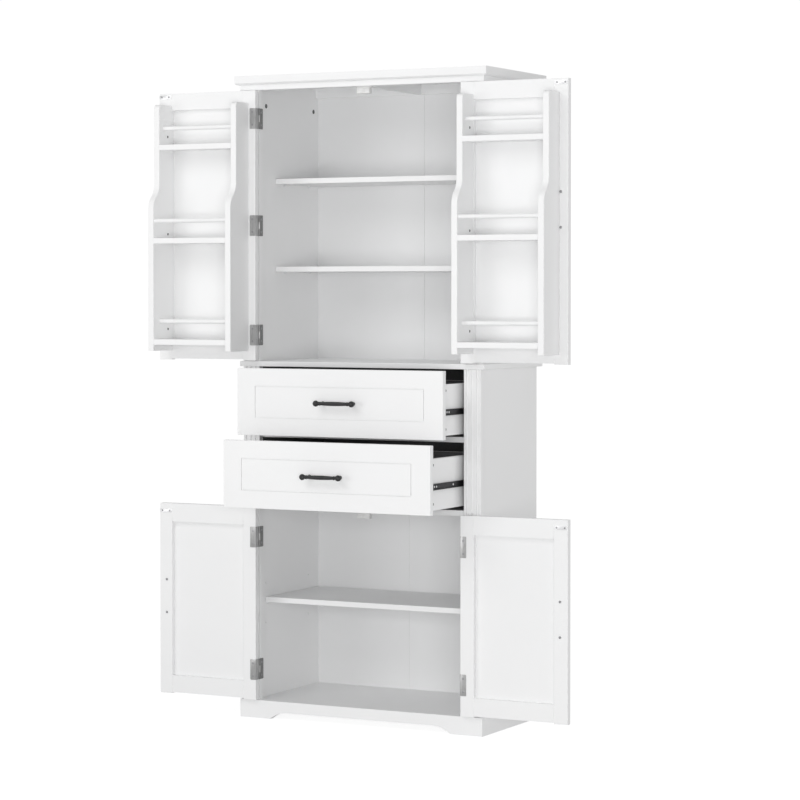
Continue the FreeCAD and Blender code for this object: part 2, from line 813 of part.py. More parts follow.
# ---------------------------------------------------------------- door racks
def rack_side_outline(x):
    """A rack side seen from the end: shallow above, deeper below, with an S-bend between."""
    half_rise = (rack_curve_top - rack_curve_bottom) / 2
    half_step = (rack_depth - rack_top_depth) / 2
    bend = (half_rise**2 + half_step**2) / (2 * half_step)
    turn = math.asin(half_rise / bend)
    middle_z = (rack_curve_bottom + rack_curve_top) / 2
    round_mid = rack_top_round * (1 - math.sqrt(0.5))

    def at(depth, z):
        return Vector(x, open_inner_y - depth, z)

    def bend_point(depth_start, z_start, inward, upward):
        """Halfway along one arc of the S, counted from its upright end."""
        across = bend * (1 - math.cos(turn / 2))
        along = bend * math.sin(turn / 2)
        return at(depth_start + inward * across, z_start + upward * along)

    edges = [
        Part.LineSegment(at(0, rack_bottom), at(rack_depth, rack_bottom)),
        Part.LineSegment(at(rack_depth, rack_bottom), at(rack_depth, rack_curve_bottom)),
        Part.Arc(
            at(rack_depth, rack_curve_bottom),
            bend_point(rack_depth, rack_curve_bottom, -1, 1),
            at(rack_depth - half_step, middle_z),
        ),
        Part.Arc(
            at(rack_depth - half_step, middle_z),
            bend_point(rack_top_depth, rack_curve_top, 1, -1),
            at(rack_top_depth, rack_curve_top),
        ),
        Part.LineSegment(at(rack_top_depth, rack_curve_top), at(rack_top_depth, rack_top - rack_top_round)),
        Part.Arc(
            at(rack_top_depth, rack_top - rack_top_round),
            at(rack_top_depth - round_mid, rack_top - round_mid),
            at(rack_top_depth - rack_top_round, rack_top),
        ),
        Part.LineSegment(at(rack_top_depth - rack_top_round, rack_top), at(0, rack_top)),
        Part.LineSegment(at(0, rack_top), at(0, rack_bottom)),
    ]
    return Part.Face(Part.Wire([edge.toShape() for edge in edges]))


def rack():
    """Two shaped sides, three shelves and three guard rods, fixed to the inside of a long door."""
    side_starts = (rack_hinge_inset, rack_outer_u - rack_side)
    inner_u0 = rack_hinge_inset + rack_side
    inner_u1 = rack_outer_u - rack_side
    rod_start = open_edge_x + inner_u0 - rack_rod_socket
    rod_length = inner_u1 - inner_u0 + 2 * rack_rod_socket
    rods = [
        rod(Vector(rod_start, open_inner_y - depth, z), X_AXIS, rack_rod_radius, rod_length)
        for depth, z in zip(rack_rod_depths, rack_rod_heights)
    ]
    sides = []
    for start in side_starts:
        side = rack_side_outline(open_edge_x + start).extrude(Vector(rack_side, 0, 0))
        side = side.makeChamfer(panel_ease, side.Edges)
        for guard in rods:
            side = side.cut(guard)
        sides.append(side.Solids[0])
    rack_shelves = []
    for bottom, depth in zip(rack_shelf_bottoms, rack_shelf_depths):
        rack_shelves.append(door_block(inner_u0, inner_u1, 0, depth, bottom, bottom + board))
    for piece, solids in (("rack_sides", sides), ("rack_shelves", rack_shelves), ("rack_rods", rods)):
        save("right_" + piece, solids)
        save("left_" + piece, [mirrored(s) for s in solids])


# ---------------------------------------------------------------- drawers
def drawer_front(front_y, bottom):
    """A flat front with a fine routed outline, grooved behind for the drawer's bottom."""
    half = drawer_front_half
    top = bottom + drawer_front_height
    panel = eased(block(-half, half, front_y, front_y + drawer_front_thickness, bottom, top))
    out_x = half - drawer_outline_side
    out_z0 = bottom + drawer_outline_end
    out_z1 = top - drawer_outline_end
    w = drawer_outline_width
    depth_y = front_y + drawer_outline_depth
    ring = block(-out_x, out_x, front_y, depth_y, out_z0, out_z1)
    ring = ring.cut(block(-out_x + w, out_x - w, front_y, depth_y, out_z0 + w, out_z1 - w))
    return panel.cut(ring)


def drawer(level, bottom, pull):
    """One drawer at its pulled-out place: front, box, handle and the slides' moving members."""
    front_y = face_y - pull
    box_y0 = front_y + drawer_front_thickness
    box_y1 = box_y0 + slide_length
    z0 = bottom + drawer_box_lift
    z1 = z0 + drawer_box_height
    floor_z = z0 + drawer_bottom_lift
    inner = box_half - drawer_box_side
    groove = drawer_bottom_groove
    sheet = block(
        -inner - groove, inner + groove, box_y0 - groove, box_y1, floor_z, floor_z + drawer_bottom
    )
    side = block(inner, box_half, box_y0, box_y1, z0, z1).cut(sheet)
    back = block(-inner, inner, box_y1 - drawer_box_side, box_y1, floor_z + drawer_bottom, z1)
    handle_z = bottom + drawer_front_height / 2
    panel = drawer_front(front_y, bottom).cut(sheet)
    handle_parts = [HANDLE, *handle_screws(drawer_front_thickness)]
    turned = []
    for solid in handle_parts + handle_holes(drawer_front_thickness):
        copy = solid.copy()
        copy.rotate(Vector(0, 0, 0), Y_AXIS, 90)
        turned.append(moved(copy, y=front_y, z=handle_z))
    for hole in turned[len(handle_parts) :]:
        panel = panel.cut(hole)
    save(level + "_drawer_front", panel.Solids)
    save(level + "_drawer_box", [*both_sides(side.Solids), back, sheet])
    save(level + "_drawer_handle", turned[: len(handle_parts)])
    save(level + "_drawer_slides", both_sides([slide_inner(box_y0, z0 + slide_drop)]))
    cage_y = slide_front + cage_slack + (slide_travel - pull) / 2
    save(level + "_slide_ball_cages", both_sides(ball_cage(cage_y, z0 + slide_drop)))


# ---------------------------------------------------------------- slides
def channel(x_web, x_lip, steel, y0, length, z, height):
    """A steel channel lying along Y: a flat web with a lip above and below, open towards x_lip."""
    low = z - height / 2
    high = z + height / 2
    x0, x1 = min(x_web, x_lip), max(x_web, x_lip)
    body = block(x0, x1, y0, y0 + length, low, high)
    hollow_x0 = x0 + steel if x_web < x_lip else x0
    hollow_x1 = x1 if x_web < x_lip else x1 - steel
    return body.cut(block(hollow_x0, hollow_x1, y0, y0 + length, low + steel, high - steel))


def slide_outer(z):
    """The fixed member, screwed to the bay liner."""
    return channel(
        opening_half, opening_half - slide_outer_lip, slide_steel, slide_front, slide_length, z, slide_outer_height
    )


def slide_inner(y0, z):
    """The moving member on the drawer's side, with its screw holes."""
    member = channel(box_half, box_half + slide_inner_lip, slide_steel, y0, slide_length, z, slide_inner_height)
    for setback in slide_hole_setbacks:
        member = member.cut(
            rod(Vector(box_half, y0 + setback, z), X_AXIS, slide_hole_radius, slide_steel)
        )
    return member.Solids[0]


def ball_cage(y0, z):
    """The strip that keeps two rows of balls spaced between the members. It moves half as far as the drawer."""
    length = slide_length - slide_travel - 2 * cage_slack
    track_low = slide_inner_height / 2
    track_high = slide_outer_height / 2 - slide_steel
    ball_z = (track_low + track_high) / 2
    ball_radius = (track_high - track_low) / 2 - ball_running_gap
    ball_x = (opening_half - slide_outer_lip + box_half + slide_inner_lip) / 2
    notch_radius = ball_radius + ball_running_gap
    web_x = ball_x + notch_radius + ball_running_gap
    height = 2 * ball_z + cage_steel
    cage = channel(web_x + cage_steel, ball_x, cage_steel, y0, length, z, height)
    count = int(length // cage_ball_pitch)
    first = y0 + (length - (count - 1) * cage_ball_pitch) / 2
    balls = []
    for i in range(count):
        for side in (-1, 1):
            centre = Vector(ball_x, first + i * cage_ball_pitch, z + side * ball_z)
            notch_start = centre - Z_AXIS * cage_steel
            cage = cage.cut(rod(notch_start, Z_AXIS, notch_radius, 2 * cage_steel))
            balls.append(Part.makeSphere(ball_radius, centre))
    return cage.Solids + balls


lower_slide_z = lower_front_bottom + drawer_box_lift + slide_drop
upper_slide_z = upper_front_bottom + drawer_box_lift + slide_drop


# ---------------------------------------------------------------- build
def build():
    crown_frame()
    side_panels()
    pilasters()
    level_boards()
    shelves()
    back_panels()
    plinth()
    save("magnetic_catches", [catch(drawer_floor_bottom), catch(crown_bottom)])
    frame_hinges()
    save("slide_outer_members", both_sides([slide_outer(lower_slide_z), slide_outer(upper_slide_z)]))
    door(
        "lower",
        lower_door_bottom,
        lower_door_top,
        lower_rail_width,
        lower_hinges,
        lower_handle_inset,
        lower_handle_z,
        strike_top_inset_lower,
    )
    door(
        "upper",
        upper_door_bottom,
        upper_door_top,
        upper_rail_width,
        upper_hinges,
        upper_handle_inset,
        upper_handle_z,
        strike_top_inset_upper,
    )
    rack()
    drawer("lower", lower_front_bottom, lower_drawer_pull)
    drawer("upper", upper_front_bottom, upper_drawer_pull)


build()
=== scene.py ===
# %% [markdown]
# # A tall pantry cabinet, painted white
# The cabinet stands with its four doors folded open and both drawers drawn out. Its boards come
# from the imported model, which is the fixed frame. This lesson gives every board a finish, and
# makes the small metal and plastic pieces that a joiner buys in: pulls, butt hinges, strike
# plates, magnetic catches, shelf pins and screws. Loading the frame comes first, because every
# new piece takes its place from a board's own box.

# %% Load the frame
import math

import bmesh
import bpy
from mathutils import Matrix, Vector


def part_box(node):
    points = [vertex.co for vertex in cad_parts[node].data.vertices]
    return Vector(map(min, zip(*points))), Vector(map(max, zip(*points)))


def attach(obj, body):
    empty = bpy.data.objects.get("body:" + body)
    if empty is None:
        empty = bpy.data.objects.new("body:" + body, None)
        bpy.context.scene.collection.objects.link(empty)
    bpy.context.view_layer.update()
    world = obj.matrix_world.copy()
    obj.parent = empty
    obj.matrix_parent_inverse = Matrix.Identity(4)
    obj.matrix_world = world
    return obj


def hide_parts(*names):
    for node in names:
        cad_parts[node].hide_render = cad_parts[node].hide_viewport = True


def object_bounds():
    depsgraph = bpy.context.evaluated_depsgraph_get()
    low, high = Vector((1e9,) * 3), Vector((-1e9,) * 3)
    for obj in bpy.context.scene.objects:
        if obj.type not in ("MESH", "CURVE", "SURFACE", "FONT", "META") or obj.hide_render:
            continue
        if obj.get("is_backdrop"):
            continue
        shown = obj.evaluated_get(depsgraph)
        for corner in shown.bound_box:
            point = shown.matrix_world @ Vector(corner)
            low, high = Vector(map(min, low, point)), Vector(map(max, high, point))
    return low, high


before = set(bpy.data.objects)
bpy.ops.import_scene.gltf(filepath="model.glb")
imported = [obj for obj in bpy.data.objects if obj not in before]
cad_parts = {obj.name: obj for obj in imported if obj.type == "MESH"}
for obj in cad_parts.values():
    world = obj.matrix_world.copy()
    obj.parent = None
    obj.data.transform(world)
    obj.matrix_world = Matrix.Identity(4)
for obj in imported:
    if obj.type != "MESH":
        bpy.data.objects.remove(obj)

MM = 0.001
cad_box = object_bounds()
print("cabinet box in metres:", [round(v, 4) for corner in cad_box for v in corner])

# %% [markdown]
# ## The camera
# A cabinet is shown from a little to the right of its middle, from about chest height, through a
# long lens that keeps its uprights upright. The shift moves the picture on the film instead of
# tilting the camera much, as an architect's lens does.

# %% Camera
scene = bpy.context.scene
lens_data = bpy.data.cameras.new("long_lens")
lens_data.lens = 120.681
lens_data.sensor_width = 36.0
lens_data.shift_y = -0.07
lens_data.clip_end = 60.0
camera = bpy.data.objects.new("camera", lens_data)
scene.collection.objects.link(camera)
camera.location = (3.5702, -6.8112, 1.2236)
camera.rotation_euler = (math.radians(90.0 - 1.1232), 0.0, math.radians(27.4504))
scene.camera = camera
print("camera distance in metres:", round(camera.location.length, 2))

# %% [markdown]
# ## A white studio
# White goods are lit by a room more than by a lamp. A pale room light fills everything evenly, two
# large soft panels give the fronts their brightness, the right one the stronger, and the floor
# throws light back up. A weaker panel behind on the right draws the thin dark line where a rack
# meets its door and the shade on the drawer sides beside the pilaster. The room is shown to the
# camera a little brighter than it shines, so that the cabinet stands out by its own shade.


# %% Room light
WHITE = (1.0, 1.0, 1.0, 1.0)
ROOM_LIGHT = 0.49
ROOM_SHOWN = 1.02


def shown_brighter(tree, strength, shines, shown):
    """Drives a strength socket with one value for the cabinet and another for the camera."""
    seen = tree.nodes.new("ShaderNodeLightPath")
    brightness = tree.nodes.new("ShaderNodeMapRange")
    brightness.inputs["To Min"].default_value = shines
    brightness.inputs["To Max"].default_value = shown
    tree.links.new(seen.outputs["Is Camera Ray"], brightness.inputs["Value"])
    tree.links.new(brightness.outputs["Result"], strength)


scene.view_settings.view_transform = "Standard"
room = bpy.data.worlds.new("white_room")
scene.world = room
room.use_nodes = True
background = room.node_tree.nodes["Background"]
background.inputs["Color"].default_value = WHITE
shown_brighter(room.node_tree, background.inputs["Strength"], ROOM_LIGHT, ROOM_SHOWN)
print("room shines at", ROOM_LIGHT, "and shows at", ROOM_SHOWN)


# %% Soft panels
def soft_panel(name, place, target, width, height, power):
    """A large lit panel at a place, turned to face a point."""
    data = bpy.data.lights.new(name, "AREA")
    data.shape = "RECTANGLE"
    data.size, data.size_y = width, height
    data.energy = power
    panel = bpy.data.objects.new(name, data)
    scene.collection.objects.link(panel)
    panel.location = place
    aim = Vector(target) - Vector(place)
    panel.rotation_euler = aim.to_track_quat("-Z", "Y").to_euler()
    panel.visible_camera = False
    print(name, "at", place, "power", power)


soft_panel("high_panel", (-0.9, -3.6, 3.5), (0.0, 0.0, 1.4), 2.4, 2.0, 36.0)
soft_panel("left_panel", (-3.0, -5.4, 1.0), (0.0, 0.0, 0.9), 2.4, 1.6, 34.0)
soft_panel("right_panel", (3.0, -5.6, 0.9), (0.0, 0.0, 0.9), 2.4, 1.6, 108.0)
soft_panel("edge_panel", (4.9, 1.9, 1.5), (0.0, 0.0, 1.0), 1.6, 2.2, 32.0)

# %% [markdown]
# ## The floor
# The floor is a pale, matt sheet that runs out past the picture on every side. A part of its
# brightness is its own glow, like a floor lit from under itself, so that only the faintest shade
# lies round the plinth. Like the room, it is shown brighter than it shines, so that it doesn't
# wash out the shade on the boards.

# %% Floor
FLOOR_GLOW = 0.27
FLOOR_SHOWN = 0.80
FLOOR_REACH = 14.0
FLOOR_GREY = (0.42, 0.42, 0.42, 1.0)
floor_bm = bmesh.new()
bmesh.ops.create_grid(floor_bm, x_segments=8, y_segments=8, size=FLOOR_REACH)
floor_mesh = bpy.data.meshes.new("studio_floor")
floor_bm.to_mesh(floor_mesh)
floor_bm.free()
floor = bpy.data.objects.new("studio_floor", floor_mesh)
scene.collection.objects.link(floor)
floor_finish = bpy.data.materials.new("pale_floor")
floor_finish.use_nodes = True
floor_shader = floor_finish.node_tree.nodes["Principled BSDF"]
floor_shader.inputs["Base Color"].default_value = FLOOR_GREY
floor_shader.inputs["Roughness"].default_value = 1.0
floor_shader.inputs["Specular IOR Level"].default_value = 0.0
floor_shader.inputs["Emission Color"].default_value = WHITE
glow = floor_shader.inputs["Emission Strength"]
shown_brighter(floor_finish.node_tree, glow, FLOOR_GLOW, FLOOR_SHOWN)
floor_mesh.materials.append(floor_finish)
floor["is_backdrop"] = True
print("floor reaches", FLOOR_REACH, "metres each way")

# %% [markdown]
# ## Finishes
# A finish here is a small tree of nodes: noise in the piece's own metres moves its colour by a
# percent or two, another noise moves its roughness, and a fine one raises its skin. One helper
# lays that tree, and each finish says its own numbers. Numbers that are the same all over a piece
# sit on the shader itself.


# %% One helper for every finish
def finish_tree(name, metallic=0.0, specular=0.5):
    """A new material with its shader, and the piece's own coordinates to read."""
    material = bpy.data.materials.new(name)
    material.use_nodes = True
    tree = material.node_tree
    shader = tree.nodes["Principled BSDF"]
    shader.inputs["Metallic"].default_value = metallic
    shader.inputs["Specular IOR Level"].default_value = specular
    place = tree.nodes.new("ShaderNodeTexCoord")
    return material, tree, shader, place.outputs["Object"]


def own_place(tree):
    """The piece's own coordinates again, from a tree that already reads them."""
    return next(n for n in tree.nodes if n.type == "TEX_COORD").outputs["Object"]


def stretched(tree, place, stretch):
    """The same coordinates, pulled out along some axes so that a pattern becomes streaks."""
    mapping = tree.nodes.new("ShaderNodeMapping")
    mapping.inputs["Scale"].default_value = stretch
    tree.links.new(place, mapping.inputs["Vector"])
    return mapping.outputs["Vector"]


def speckle(tree, place, size_mm, detail=3.0):
    """Noise whose blotches are about this many millimetres across."""
    noise = tree.nodes.new("ShaderNodeTexNoise")
    noise.inputs["Scale"].default_value = 1000.0 / size_mm
    noise.inputs["Detail"].default_value = detail
    tree.links.new(place, noise.inputs["Vector"])
    return noise.outputs["Fac"]


def between(tree, value, low, high):
    """The noise, brought between two numbers."""
    span = tree.nodes.new("ShaderNodeMapRange")
    span.inputs["From Min"].default_value = 0.3
    span.inputs["From Max"].default_value = 0.7
    span.inputs["To Min"].default_value = low
    span.inputs["To Max"].default_value = high
    tree.links.new(value, span.inputs["Value"])
    return span.outputs["Result"]


def shades(tree, value, dark, light):
    """The noise, as a colour between two shades."""
    ramp = tree.nodes.new("ShaderNodeValToRGB")
    ramp.color_ramp.elements[0].position = 0.3
    ramp.color_ramp.elements[0].color = (*dark, 1.0)
    ramp.color_ramp.elements[1].position = 0.7
    ramp.color_ramp.elements[1].color = (*light, 1.0)
    tree.links.new(value, ramp.inputs["Fac"])
    return ramp.outputs["Color"]


def raised(tree, shader, height, depth_mm, strength=0.5):
    """A skin raised by the noise, this many millimetres high."""
    bump = tree.nodes.new("ShaderNodeBump")
    bump.inputs["Strength"].default_value = strength
    bump.inputs["Distance"].default_value = depth_mm * MM
    tree.links.new(height, bump.inputs["Height"])
    tree.links.new(bump.outputs["Normal"], shader.inputs["Normal"])


# %% [markdown]
# ### Sprayed board paint
# The boards are fibreboard, sprayed white and left satin. Sprayed paint dries with a skin like an
# orange's, about a millimetre from bump to bump and far too shallow to see except where light
# rakes along it, and broad, faint clouds where the coat is thicker. Both are noise. A wood grain
# would be wrong here, because fibreboard has none.


# %% Board paint
def board_paint(name, dark, light, rough_low, rough_high):
    """A satin paint between two shades and two roughnesses, with its pebbled skin."""
    material, tree, shader, place = finish_tree(name, specular=0.42)
    cloud = speckle(tree, place, 420.0, detail=2.0)
    tree.links.new(shades(tree, cloud, dark, light), shader.inputs["Base Color"])
    patch = speckle(tree, place, 60.0)
    tree.links.new(between(tree, patch, rough_low, rough_high), shader.inputs["Roughness"])
    raised(tree, shader, speckle(tree, place, 1.3, detail=1.5), 0.03, 0.35)
    return material


white_paint = board_paint(
    "white_board_paint", (0.885, 0.887, 0.890), (0.908, 0.909, 0.910), 0.42, 0.52
)
print("board paint made")

# %% [markdown]
# ### Painted shade in the drawer bay
# Behind the drawers the boards are painted near black, and so are the insides of the drawer
# boxes: a painted shade for the deep shade of the bay. The back boards run through all the bays
# in one piece, and a drawer box is white outside, so those two finishes change by place: a test
# on the piece's own coordinates picks the painted shade or the white paint.


# %% Finishes that change by place
def axis_value(tree, place, axis, absolute=False):
    """One of the three coordinates, with its sign dropped if asked."""
    apart = tree.nodes.new("ShaderNodeSeparateXYZ")
    tree.links.new(place, apart.inputs["Vector"])
    value = apart.outputs[axis]
    if absolute:
        plain = tree.nodes.new("ShaderNodeMath")
        plain.operation = "ABSOLUTE"
        tree.links.new(value, plain.inputs[0])
        value = plain.outputs["Value"]
    return value


def beyond(tree, value, limit, above=True):
    """1 where the value is past a limit, in metres, and 0 where it isn't."""
    test = tree.nodes.new("ShaderNodeMath")
    test.operation = "GREATER_THAN" if above else "LESS_THAN"
    test.inputs[1].default_value = limit
    tree.links.new(value, test.inputs[0])
    return test.outputs["Value"]


def both(tree, first, second):
    """1 where both tests hold."""
    product = tree.nodes.new("ShaderNodeMath")
    product.operation = "MULTIPLY"
    tree.links.new(first, product.inputs[0])
    tree.links.new(second, product.inputs[1])
    return product.outputs["Value"]


def paint_shade_where(tree, where):
    """Where the test holds, the shader's colour becomes painted shade instead of what it had."""
    base_colour = tree.nodes["Principled BSDF"].inputs["Base Color"]
    painted = base_colour.links[0].from_socket
    # near-black painted shade, with a fine speckle
    paper = shades(tree, speckle(tree, own_place(tree), 3.0, detail=4.0), *PAINTED_SHADE_TONES)
    mix = tree.nodes.new("ShaderNodeMix")
    mix.data_type = "RGBA"
    tree.links.new(where, mix.inputs[0])
    tree.links.new(painted, mix.inputs[6])
    tree.links.new(paper, mix.inputs[7])
    tree.links.new(mix.outputs[2], base_colour)


# the near-black tones of the painted shade in the drawer bay and inside the drawer boxes
PAINTED_SHADE_TONES = ((0.125, 0.125, 0.128), (0.155, 0.155, 0.159))
# half a millimetre of slack, so that a face lying on a limit falls clearly to one side of it
SLACK = 0.5 * MM
bay_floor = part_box("drawer_floor_board")[1].z
bay_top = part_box("ledge_board")[0].z
print("dark bay from", round(bay_floor, 4), "to", round(bay_top, 4))

back_paper = board_paint(
    "white_back_paper", (0.86, 0.863, 0.866), (0.89, 0.892, 0.894), 0.55, 0.66
)
tree = back_paper.node_tree
place = own_place(tree)
height = axis_value(tree, place, "Z")
above_floor = beyond(tree, height, bay_floor - SLACK)
in_bay = both(tree, above_floor, beyond(tree, height, bay_top, above=False))
rear_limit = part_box("lower_back_panels")[1].y - SLACK
off_the_rear = beyond(tree, axis_value(tree, place, "Y"), rear_limit, above=False)
# painted shade on the back boards between the drawer bay's floor and its ledge
paint_shade_where(tree, both(tree, in_bay, off_the_rear))


# %% Drawer boxes and bay lining, with painted shade
BOX_SIDE = 12.0


def drawer_box_paint(level):
    """White outside and painted shade inside, all that lies between the sides' inner faces."""
    box_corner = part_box(level + "_drawer_box")[1]
    inner_face = box_corner.x - BOX_SIDE * MM + 0.8 * SLACK
    paint = board_paint(
        level + "_drawer_box_paint", (0.88, 0.882, 0.885), (0.905, 0.906, 0.907), 0.42, 0.52
    )
    tree = paint.node_tree
    place = own_place(tree)
    from_middle = axis_value(tree, place, "X", absolute=True)
    inside = beyond(tree, from_middle, inner_face, above=False)
    below_rim = beyond(tree, axis_value(tree, place, "Z"), box_corner.z - SLACK, above=False)
    # painted shade inside the box, below its rim
    paint_shade_where(tree, both(tree, inside, below_rim))
    return paint


def make_shade_lining():
    """Painted shade behind the drawers: near black, matt, with a short fibre speckle."""
    material, tree, shader, place = finish_tree("shade_painted_lining", specular=0.3)
    paper = shades(tree, speckle(tree, place, 3.0, 4.0), *PAINTED_SHADE_TONES)
    tree.links.new(paper, shader.inputs["Base Color"])
    tree.links.new(between(tree, speckle(tree, place, 40.0), 0.6, 0.75), shader.inputs["Roughness"])
    raised(tree, shader, speckle(tree, place, 0.8), 0.03, 0.4)
    return material


shade_lining_finish = make_shade_lining()
print("dark lining made")

# %% [markdown]
# ### Metals and plastic
# The pulls are cast and powder coated: nearly black, matt, with a fine pebbled skin. The drawer
# slides are rolled steel, blackened, with streaks along their length. Hinges are satin nickel,
# brushed up and down. Strike plates, pins and screws are zinc, with the cloudy bloom of plating.
# The catches are moulded white plastic.


# %% Metals and plastic
def powder_coat():
    """Nearly black and matt, with a fine pebble."""
    material, tree, shader, place = finish_tree("black_powder_coat", specular=0.45)
    tone = shades(tree, speckle(tree, place, 9.0), (0.017, 0.017, 0.018), (0.027, 0.027, 0.028))
    tree.links.new(tone, shader.inputs["Base Color"])
    tree.links.new(between(tree, speckle(tree, place, 4.0), 0.38, 0.5), shader.inputs["Roughness"])
    raised(tree, shader, speckle(tree, place, 0.35, 2.0), 0.03, 0.6)
    return material


def rolled_black_steel():
    """Blackened steel, streaked along Y."""
    material, tree, shader, place = finish_tree("black_rolled_steel", metallic=0.55)
    streaks = stretched(tree, place, (1.0, 0.04, 1.0))
    tone = shades(tree, speckle(tree, streaks, 1.2), (0.022, 0.022, 0.024), (0.045, 0.045, 0.048))
    tree.links.new(tone, shader.inputs["Base Color"])
    tree.links.new(between(tree, speckle(tree, streaks, 2.0), 0.3, 0.46), shader.inputs["Roughness"])
    raised(tree, shader, speckle(tree, streaks, 0.7), 0.02, 0.4)
    return material


def plated_steel(name, dark, light, rough_low, rough_high, brushed=(1.0, 1.0, 1.0)):
    """Plating between two greys and two roughnesses, its bloom pulled out along brushed axes."""
    material, tree, shader, place = finish_tree(name, metallic=0.85)
    grain = stretched(tree, place, brushed)
    bloom = shades(tree, speckle(tree, grain, 0.9), dark, light)
    tree.links.new(bloom, shader.inputs["Base Color"])
    rough = between(tree, speckle(tree, grain, 5.0), rough_low, rough_high)
    tree.links.new(rough, shader.inputs["Roughness"])
    raised(tree, shader, speckle(tree, grain, 0.5), 0.01, 0.5)
    return material


def grey(value):
    """A colour with no tint."""
    return (value, value, value)


def moulded_plastic():
    """Smooth white plastic with a faint flow in it."""
    material, tree, shader, place = finish_tree("moulded_white_plastic", specular=0.5)
    tone = shades(tree, speckle(tree, place, 25.0), (0.80, 0.80, 0.79), (0.84, 0.84, 0.83))
    tree.links.new(tone, shader.inputs["Base Color"])
    tree.links.new(between(tree, speckle(tree, place, 8.0), 0.28, 0.38), shader.inputs["Roughness"])
    raised(tree, shader, speckle(tree, place, 0.6), 0.01, 0.3)
    return material


black_coat = powder_coat()
slide_steel = rolled_black_steel()
UP_AND_DOWN = (1.0, 1.0, 0.06)
satin_nickel = plated_steel("satin_nickel", grey(0.40), grey(0.55), 0.30, 0.44, UP_AND_DOWN)
# a darker copy of the satin nickel for the leaves on the frame, as painted shade
painted_shade_nickel = plated_steel("shaded_nickel", grey(0.20), grey(0.30), 0.34, 0.48, UP_AND_DOWN)
bright_zinc = plated_steel("bright_zinc", (0.78, 0.78, 0.79), (0.88, 0.88, 0.89), 0.34, 0.46)
screw_zinc = plated_steel("screw_zinc", (0.30, 0.30, 0.31), (0.42, 0.42, 0.43), 0.28, 0.42)
# near black: a painted shade for the floor of each screw's cross recess
recess_painted_shade = plated_steel("recess_shadow", grey(0.04), grey(0.07), 0.5, 0.6)
white_plastic = moulded_plastic()
print("metals and plastic made")

# %% [markdown]
# ## Finishes onto the boards
# A packed board already carries the name of its material slot, so the boards are finished by
# looking that name up. A few nodes that change by place get their own finish.

# %% Board finishes by slot
finish_of_slot = {
    "white_painted_board": white_paint,
    "white_back_board": white_paint,
    # the liner boards behind the drawers take the painted shade
    "dark_liner_board": shade_lining_finish,
    "black_metal": black_coat,
    "black_slide_steel": slide_steel,
    "hinge_steel": satin_nickel,
    "bright_steel": bright_zinc,
    "pin_steel": bright_zinc,
    "white_plastic": white_plastic,
}
finish_of_node = {
    "lower_back_panels": back_paper,
    "upper_back_panel": back_paper,
    "upper_drawer_box": drawer_box_paint("upper"),
    "lower_drawer_box": drawer_box_paint("lower"),
}
for name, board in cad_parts.items():
    for index, slot_material in enumerate(board.data.materials):
        slot_name = slot_material.name.split(".")[0]
        board.data.materials[index] = finish_of_node.get(name, finish_of_slot[slot_name])
print("boards finished:", len(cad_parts))


# %% [markdown]
# ## Making a piece
# Each small shape is made once, lying at the origin, and then copied into its piece at every
# place where it is fitted. A finished piece sits at the origin with its place in its mesh, rides
# on one body of the cabinet, and hides the boards that it stands for.


# %% Helpers that finish a shape
def closed_up(bm, smooth_below=35.0):
    """Merges doubled points, turns every face outwards and keeps the sharp edges crisp."""
    bmesh.ops.remove_doubles(bm, verts=bm.verts, dist=0.004 * MM)
    bmesh.ops.recalc_face_normals(bm, faces=bm.faces)
    limit = math.radians(smooth_below)
    for edge in bm.edges:
        edge.smooth = len(edge.link_faces) == 2 and edge.calc_face_angle(0.0) < limit
    for face in bm.faces:
        face.smooth = True


def kept(name, bm):
    """Keeps what has been built as a mesh."""
    mesh = bpy.data.meshes.new(name)
    bm.to_mesh(mesh)
    bm.free()
    return mesh


def shape(name, bm):
    """Closes a little shape up and keeps it, to be copied from."""
    closed_up(bm)
    return kept(name, bm)


def put(bm, mesh, matrix=None, finishes=0):
    """Copies a shape into a piece at a place. The shape's finish numbers start at this one."""
    copy = mesh.copy()
    for face in copy.polygons:
        face.material_index += finishes
    if matrix is not None:
        copy.transform(matrix)
        if matrix.determinant() < 0:
            copy.flip_normals()
    bm.from_mesh(copy)
    bpy.data.meshes.remove(copy)


def piece(name, bm, materials, body, stands_for=()):
    """Turns the mesh into a piece of the cabinet."""
    mesh = kept(name, bm)
    for material in materials:
        mesh.materials.append(material)
    made = bpy.data.objects.new(name, mesh)
    scene.collection.objects.link(made)
    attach(made, body)
    if stands_for:
        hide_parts(*stands_for)
    print(name, "faces:", len(mesh.polygons), "rides on", body)


# %% Helpers that make a shape
def turned(bm, outline, segments=32):
    """Turns an outline of (radius, height) points, in millimetres, round the Z axis."""
    points = [bm.verts.new((radius * MM, 0.0, z * MM)) for radius, z in outline]
    edges = [bm.edges.new(pair) for pair in zip(points, points[1:])]
    bmesh.ops.spin(
        bm,
        geom=points + edges,
        cent=(0.0, 0.0, 0.0),
        axis=(0.0, 0.0, 1.0),
        angle=2 * math.pi,
        steps=segments,
        use_merge=True,
    )
    bmesh.ops.remove_doubles(bm, verts=bm.verts, dist=0.004 * MM)


def arc(centre_r, centre_z, radius, start, end, steps=8):
    """Points along an arc of an outline, with its angles in degrees from the radius axis."""
    points = []
    for i in range(steps + 1):
        angle = math.radians(start + (end - start) * i / steps)
        points.append((centre_r + radius * math.cos(angle), centre_z + radius * math.sin(angle)))
    return points


